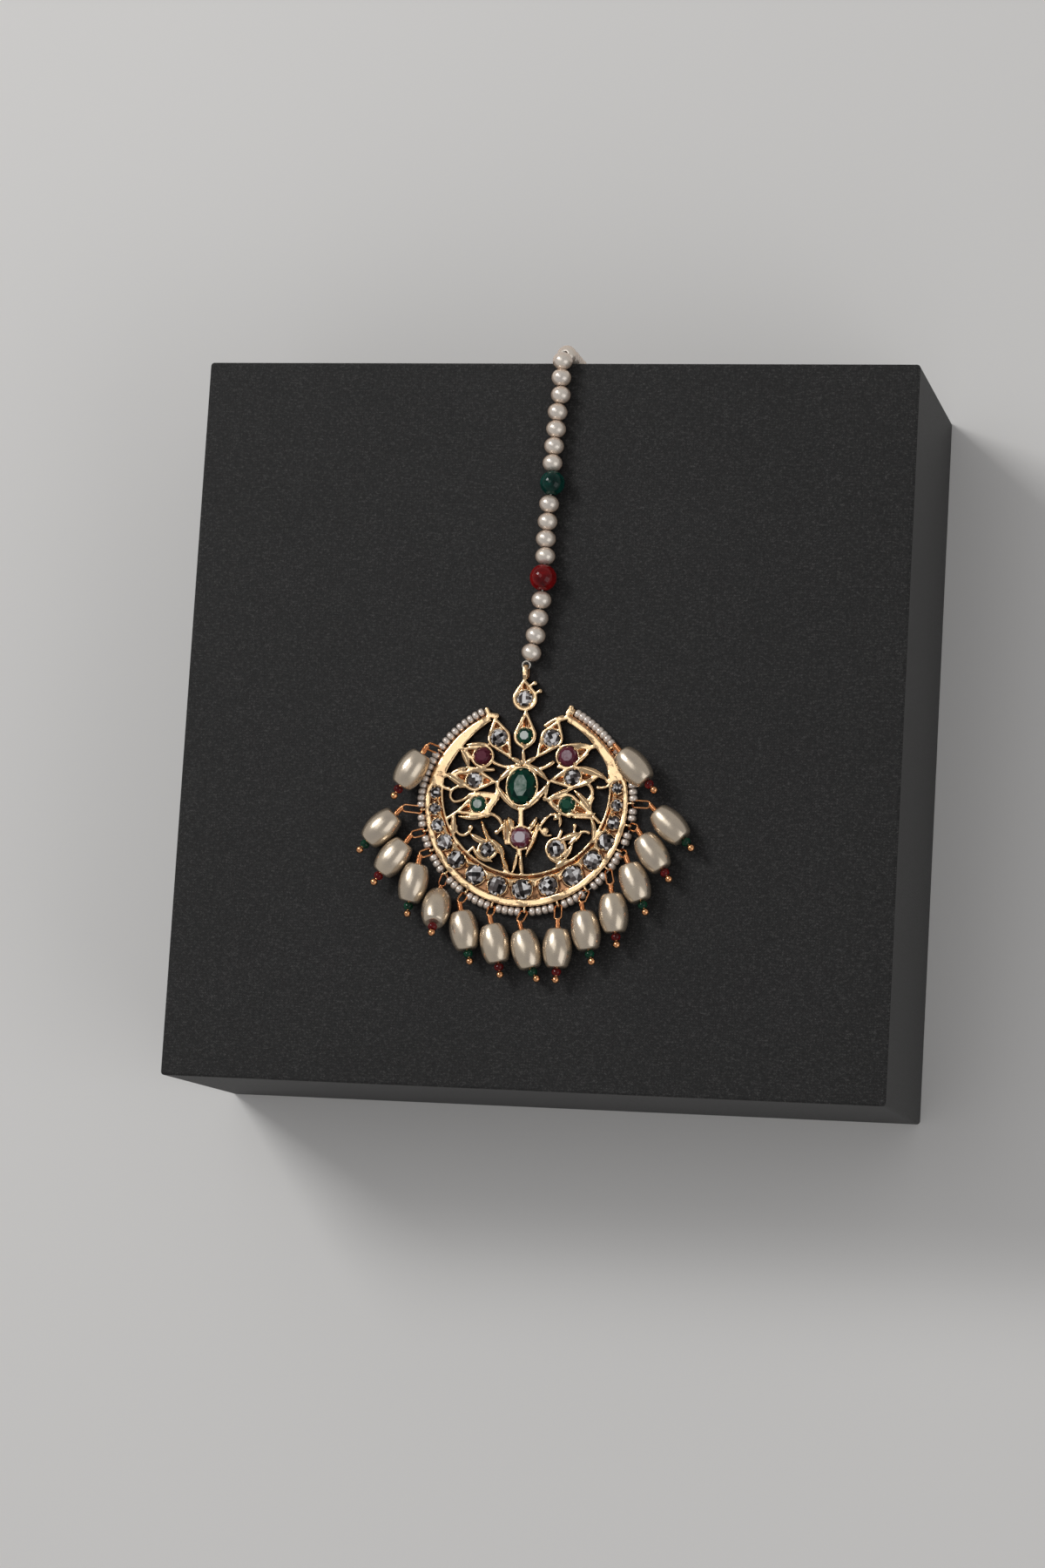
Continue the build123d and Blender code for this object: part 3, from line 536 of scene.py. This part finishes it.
def dress_stones():
    """Puts a cut stone in the place of every CAD stone; returns the boxes of all of them."""
    seats = []
    for seed, (node, material, slot, look) in enumerate(STONES):
        low, high = (Vector(corner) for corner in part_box(node))
        seats.append((low, high))
        if isinstance(look, float):
            corners, shades = checker_cut(low, high, look), clear_shade
        else:
            corners, shades = table_cut(low, high, table_of(low, high)), coloured_shade(*look)
        mesh = gem_mesh(node + "_cut", corners, shades, seed)
        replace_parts(add_piece(node + "_cut", mesh, material), node)

    rows = solids("crescent_stones")
    whole = bmesh.new()
    shades = []
    for seed, (low, high) in enumerate(rows):
        middle = (low + high) / 2
        turn = math.atan2(middle.y - RIM[1], middle.x - RIM[0])
        corners = checker_cut(low, high, turn + 0.3 * (seed % 3))
        mesh = gem_mesh("one", corners, clear_shade, 60 + seed)
        whole.from_mesh(mesh)
        shades += [item.value for item in mesh.attributes["facet"].data]
        bpy.data.meshes.remove(mesh)
        seats.append((low, high))
    mesh = bpy.data.meshes.new("crescent_stones_cut")
    whole.to_mesh(mesh)
    whole.free()
    if "facet" not in mesh.attributes:
        mesh.attributes.new("facet", "FLOAT", "FACE")
    mesh.attributes["facet"].data.foreach_set("value", shades)
    piece = add_piece("crescent_stones_cut", mesh, CLEAR_STONE)
    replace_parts(piece, "crescent_stones")
    return seats


def add_prongs(seats):
    """Small rounded prongs pressed over the edge of every stone."""
    def build(shape):
        for index, (low, high) in enumerate(seats):
            middle, half, level = stone_levels(low, high)
            count = 6 if half.x > 2.5 * MM else 4
            for step in range(count):
                angle = 2 * math.pi * (step + 0.5) / count + 0.5 * (index % 3)
                place = Vector((
                    middle.x + (half.x + PRONG_OUT) * math.cos(angle),
                    middle.y + (half.y + PRONG_OUT) * math.sin(angle),
                    level[2] + PRONG_UP,
                ))
                ball(shape, place, PRONG_R)

    add_piece("prongs", mesh_from("prongs", build), GOLD)


# ---- beads, wire and thread ---------------------------------------------------------------
def rim_at(angle):
    """How far the rim is from its centre at an angle."""
    heading = Vector((math.cos(math.radians(angle)), math.sin(math.radians(angle))))
    reaches = [RIM_R]
    for x, y, radius in RIM_SIDES:
        offset = Vector((x - RIM[0], y - RIM[1]))
        reaches.append(offset.dot(heading) + math.sqrt(radius**2 - offset.cross(heading) ** 2))
    return min(reaches)


def on_rim(reach, angle, level):
    """A place outside the rim at an angle, at a level above the underside of the gold."""
    turn, radius = math.radians(angle), rim_at(angle) + reach
    return Vector((
        RIM[0] + radius * math.cos(turn), RIM[1] + radius * math.sin(turn), GOLD_FLOOR + level,
    ))


def seed_places():
    """Middle and direction of every seed bead, in the runs between the eyes."""
    rows = []
    for (start, count), (end, _) in zip(EYES, EYES[1:]):
        radius = rim_at((start + end) / 2) + SEED_REACH
        room = math.radians(end - start) * radius - SEED_ROOM
        pitch = math.degrees(min(SEED_PITCH, room / count) / radius)
        for step in range(count):
            angle = (start + end) / 2 + (step - (count - 1) / 2) * pitch
            way = Vector((-math.sin(math.radians(angle)), math.cos(math.radians(angle)), 0))
            rows.append((on_rim(SEED_REACH, angle, SEED_R), way))
    return rows


def add_seed_beads():
    """The slightly uneven seed beads along the rim, and the thread through them."""
    middle, half, steps = (SEED_R + SEED_HOLE) / 2, (SEED_R - SEED_HOLE) / 2, 14
    angles = [2 * math.pi * step / steps for step in range(steps)]
    profile = [(middle + half * math.cos(a), SEED_HALF * math.sin(a)) for a in angles]
    draw = random.Random(7)

    def build(shape):
        for middle, way in seed_places():
            tilt = Vector((draw.uniform(-1, 1), draw.uniform(-1, 1), draw.uniform(-1, 1))) * 0.07
            size = draw.uniform(0.94, 1.0)
            turned = facing((way + tilt).normalized()) @ Matrix.Scale(size, 4)
            spun(shape, profile, Matrix.Translation(middle) @ turned, 20)

    add_piece("seed_beads", mesh_from("seed_beads", build), SEED_PEARL)

    angles = [EYES[0][0] + step * (EYES[-1][0] - EYES[0][0]) / 90 for step in range(91)]
    line = [on_rim(SEED_REACH, angle, SEED_R) for angle in angles]
    tube("seed_thread", line, SEED_THREAD_R, THREAD, sides=2)


def add_wraps():
    """Turns of fine wire round the neck of every drop."""
    for number in range(1, DROP_COUNT + 1):
        middle, axis = axis_of(f"drop_pearl_{number:02d}")
        eye = on_rim(EYE_REACH, EYES[number][0], EYE_LEVEL)
        if axis.dot(middle - eye) < 0:
            axis = -axis
        top = middle - axis * PEARL_END
        neck = min(WRAP_LONGEST, max(WRAP_SHORTEST, (top - eye).length - LOOP_LENGTH))
        turns = max(2, round(neck / (2.1 * WRAP_WIRE_R)))
        turned = facing(axis).to_3x3()
        points = []
        for step in range(turns * 10 + 1):
            angle = 2 * math.pi * step / 10
            along = -neck + WRAP_WIRE_R + (neck - 2 * WRAP_WIRE_R) * step / (turns * 10)
            spot = Vector((WRAP_R * math.cos(angle), WRAP_R * math.sin(angle), along))
            points.append(top + turned @ spot)
        tube(f"wire_wrap_{number:02d}", points, WRAP_WIRE_R, WIRE_GOLD, sides=2)


# ---- gold frame ---------------------------------------------------------------------------
# Tips of the cells round the flower's stones, where the flutes run out, in millimetres.
TIPS = {
    "stone_top_drop": [(-2.9, 8.8), (-2.2, 2.0)], "stone_green_top": [(-2.1, 2.4), (-1.9, -6.0)],
    "stone_upper_left": [(-8.6, 0.7), (-4.5, -8.0)], "stone_upper_right": [(4.9, 0.4), (0.5, -7.7)],
    "stone_ruby_left": [(-15.0, -5.9)], "stone_ruby_right": [(12.2, -5.2)],
    "stone_mid_left": [(-7.2, -12.7), (-17.2, -11.2)],
    "stone_mid_right": [(3.4, -12.3), (13.9, -11.0)],
    "stone_green_left": [(-7.4, -15.8), (-15.8, -19.3)],
    "stone_green_right": [(3.2, -15.9), (13.2, -19.0)],
}


def add_flutes(shape, node, tip):
    """Two ridges side by side, from a stone's edge to the tip of its cell."""
    low, high = (Vector(corner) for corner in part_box(node))
    middle, radius = ((low + high) / 2).to_2d(), (high.x - low.x) / 2
    ahead = (tip - middle).normalized()
    across = Vector((-ahead.y, ahead.x))
    start, end = radius + 0.12 * MM, (tip - middle).length - 0.75 * MM
    base, crest = GOLD_FLOOR + 0.6 * MM, GOLD_FLOOR + 1.7 * MM
    half = 0.42 * radius
    for side in (-half, half):
        corners = [
            (start, side - half, base), (start, side + half, base), (end, 0.4 * side, base),
            (start, side, crest), (end, 0.4 * side, crest - 0.3 * MM),
        ]
        points = []
        for along, out, level in corners:
            spot = middle + ahead * along + across * out
            points.append(shape.verts.new((*spot, level)))
        bmesh.ops.convex_hull(shape, input=points)


# Blades round the lower flower. Columns: x and y of the start, x and y of the end, width, and
# bow to the left, in millimetres.
BLADES = [
    (-9.7, -21.0, -7.5, -25.1, 1.0, -0.45), (-8.0, -24.4, -4.9, -27.9, 1.55, 0.2),
    (-5.5, -27.2, -3.8, -30.7, 1.2, -0.15), (1.95, -20.8, -0.25, -27.6, 1.2, 0.1),
    (-5.1, -20.3, -4.7, -25.4, 0.95, -0.1), (-4.4, -19.8, -3.6, -22.8, 1.5, 0.1),
]
# Sections of a blade: share of its length, and half its width as a share of the full width.
BLADE_CUTS = [(0.0, 0.08), (0.25, 0.4), (0.5, 0.5), (0.75, 0.4), (1.0, 0.08)]
BLADE_SHOULDER = 1.85
BLADE_CREST = 2.05


def add_blades(shape):
    """Pointed leaves with a crest along the middle, each made of two halves."""
    for x0, y0, x1, y1, width, bow in BLADES:
        start, end = Vector((x0, y0)), Vector((x1, y1))
        left = Vector((y0 - y1, x1 - x0)).normalized()
        cuts = []
        for share, half in BLADE_CUTS:
            middle = start.lerp(end, share) + left * (bow * 4 * share * (1 - share))
            reach = left * (half * width)
            cut = []
            for side in (middle - reach, middle + reach):
                cut += [(*side, 0.0), (*side, BLADE_SHOULDER)]
            cut.append((*middle, BLADE_CREST + 0.8 * half))
            cuts.append([(x * MM, y * MM, GOLD_FLOOR + z * MM) for x, y, z in cut])
        for part in (cuts[:3], cuts[2:]):
            points = [shape.verts.new(corner) for cut in part for corner in cut]
            bmesh.ops.convex_hull(shape, input=points)


def add_gold_frame():
    """The gold work with its edges rounded, as by hand filing and polishing."""
    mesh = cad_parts["pendant_frame"].data.copy()
    shape = bmesh.new()
    shape.from_mesh(mesh)
    for node, tips in TIPS.items():
        for tip in tips:
            add_flutes(shape, node, Vector(tip) * MM)
    add_blades(shape)
    shape.to_mesh(mesh)
    shape.free()
    raw = bpy.data.objects.new("raw_frame", mesh)
    bpy.context.scene.collection.objects.link(raw)
    weld = raw.modifiers.new("weld", "WELD")
    weld.merge_threshold = 0.002 * MM
    fine = raw.modifiers.new("fine", "REMESH")
    fine.mode = "VOXEL"
    fine.voxel_size = 0.12 * MM
    soft = raw.modifiers.new("soft", "SMOOTH")
    soft.factor = 0.5
    soft.iterations = 5
    dents = bpy.data.textures.new("dents", "CLOUDS")
    dents.noise_scale = 2.2 * MM
    uneven = raw.modifiers.new("uneven", "DISPLACE")
    uneven.texture = dents
    uneven.mid_level = 0.2
    uneven.strength = 0.15 * MM
    fewer = raw.modifiers.new("fewer", "DECIMATE")
    fewer.ratio = 0.27
    view = bpy.context.evaluated_depsgraph_get()
    final = bpy.data.meshes.new_from_object(raw.evaluated_get(view))
    bpy.data.objects.remove(raw)
    final.name = "gold_frame"
    final.polygons.foreach_set("use_smooth", [True] * len(final.polygons))
    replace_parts(add_piece("gold_frame", final, GOLD), "pendant_frame")


# ---- CAD nodes that stay ------------------------------------------------------------------
def dress_nodes():
    """Materials for the CAD nodes that stay, and softened edges for the box."""
    for name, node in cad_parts.items():
        if name.startswith("drop_pearl"):
            material = DROP_PEARL
        elif name.startswith("drop_pin"):
            material = WIRE_GOLD
        else:
            material = {
                "display_box": CLOTH, "hair_hook": HOOK_GOLD,
                "accent_beads_red": RED_ACCENT, "accent_beads_green": GREEN_ACCENT,
                "string_pearls": STRING_PEARL, "string_bead_green": GREEN_BEAD,
                "string_bead_red": RED_BEAD, "string_thread": THREAD,
            }.get(name)
        if material:
            for slot in node.material_slots:
                slot.material = material
    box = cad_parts["display_box"]
    weld = box.modifiers.new("weld", "WELD")
    weld.merge_threshold = 0.01 * MM
    edge = box.modifiers.new("edge", "BEVEL")
    edge.width = 0.6 * MM
    edge.segments = 4
    edge.limit_method = "ANGLE"


# ---- studio -------------------------------------------------------------------------------
def add_studio():
    """A pale floor, a dim world that is lighter at the horizon, and three soft lamps."""
    def grid(shape):
        bmesh.ops.create_grid(shape, size=4.0)

    floor_mesh = mesh_from("floor", grid, smooth=False)
    floor = bpy.data.objects.new("floor", floor_mesh)
    bpy.context.scene.collection.objects.link(floor)
    paint = Material("floor_paint", base=(0.80, 0.79, 0.77), Roughness=0.85)
    floor_mesh.materials.append(paint.data)

    world = bpy.data.worlds.new("studio")
    bpy.context.scene.world = world
    world.use_nodes = True
    nodes, links = world.node_tree.nodes, world.node_tree.links
    place = nodes.new("ShaderNodeTexCoord")
    parts = nodes.new("ShaderNodeSeparateXYZ")
    ramp = nodes.new("ShaderNodeValToRGB")
    ramp.color_ramp.elements[0].color = (0.42, 0.41, 0.40, 1)
    ramp.color_ramp.elements[1].color = (0.27, 0.27, 0.28, 1)
    ramp.color_ramp.elements[1].position = 0.8
    links.new(place.outputs["Generated"], parts.inputs[0])
    links.new(parts.outputs[2], ramp.inputs[0])
    links.new(ramp.outputs[0], nodes["Background"].inputs["Color"])

    def lamp(name, place, size, radiance):
        """An area lamp aimed at the middle of the box's top."""
        light = bpy.data.lights.new(name, "AREA")
        light.shape = "RECTANGLE"
        light.size, light.size_y = size
        light.energy = radiance * math.pi * size[0] * size[1]
        piece = bpy.data.objects.new(name, light)
        bpy.context.scene.collection.objects.link(piece)
        piece.location = place
        toward = Vector(place) - Vector((0.0, 0.0, BOX_TOP))
        piece.rotation_euler = toward.to_track_quat("Z", "Y").to_euler()

    lamp("softbox", (-0.26, 0.17, 1.10), (0.5, 0.5), 1.05)
    lamp("key", (-0.75, 0.55, 1.0), (0.42, 0.42), 11.5)
    lamp("fill", (0.95, -0.45, 0.8), (0.9, 0.9), 0.9)


def add_camera():
    """The photo's camera, as found from the edges of the box."""
    data = bpy.data.cameras.new("camera")
    data.lens = 96.06
    data.sensor_width = 36.0
    data.sensor_fit = "AUTO"
    camera = bpy.data.objects.new("camera", data)
    bpy.context.scene.collection.objects.link(camera)
    camera.location = (0.19416, -0.13056, 0.87017)
    view = Vector((-0.2310, 0.1385, -0.9630)).normalized()
    up = Vector((-0.0258, 0.9886, 0.1484))
    right = view.cross(up).normalized()
    up = right.cross(view)
    camera.rotation_euler = Matrix((right, up, -view)).transposed().to_euler()
    bpy.context.scene.camera = camera


add_camera()
add_studio()
dress_nodes()
add_gold_frame()
add_prongs(dress_stones())
add_seed_beads()
add_wraps()
bpy.context.scene.view_settings.view_transform = "Standard"
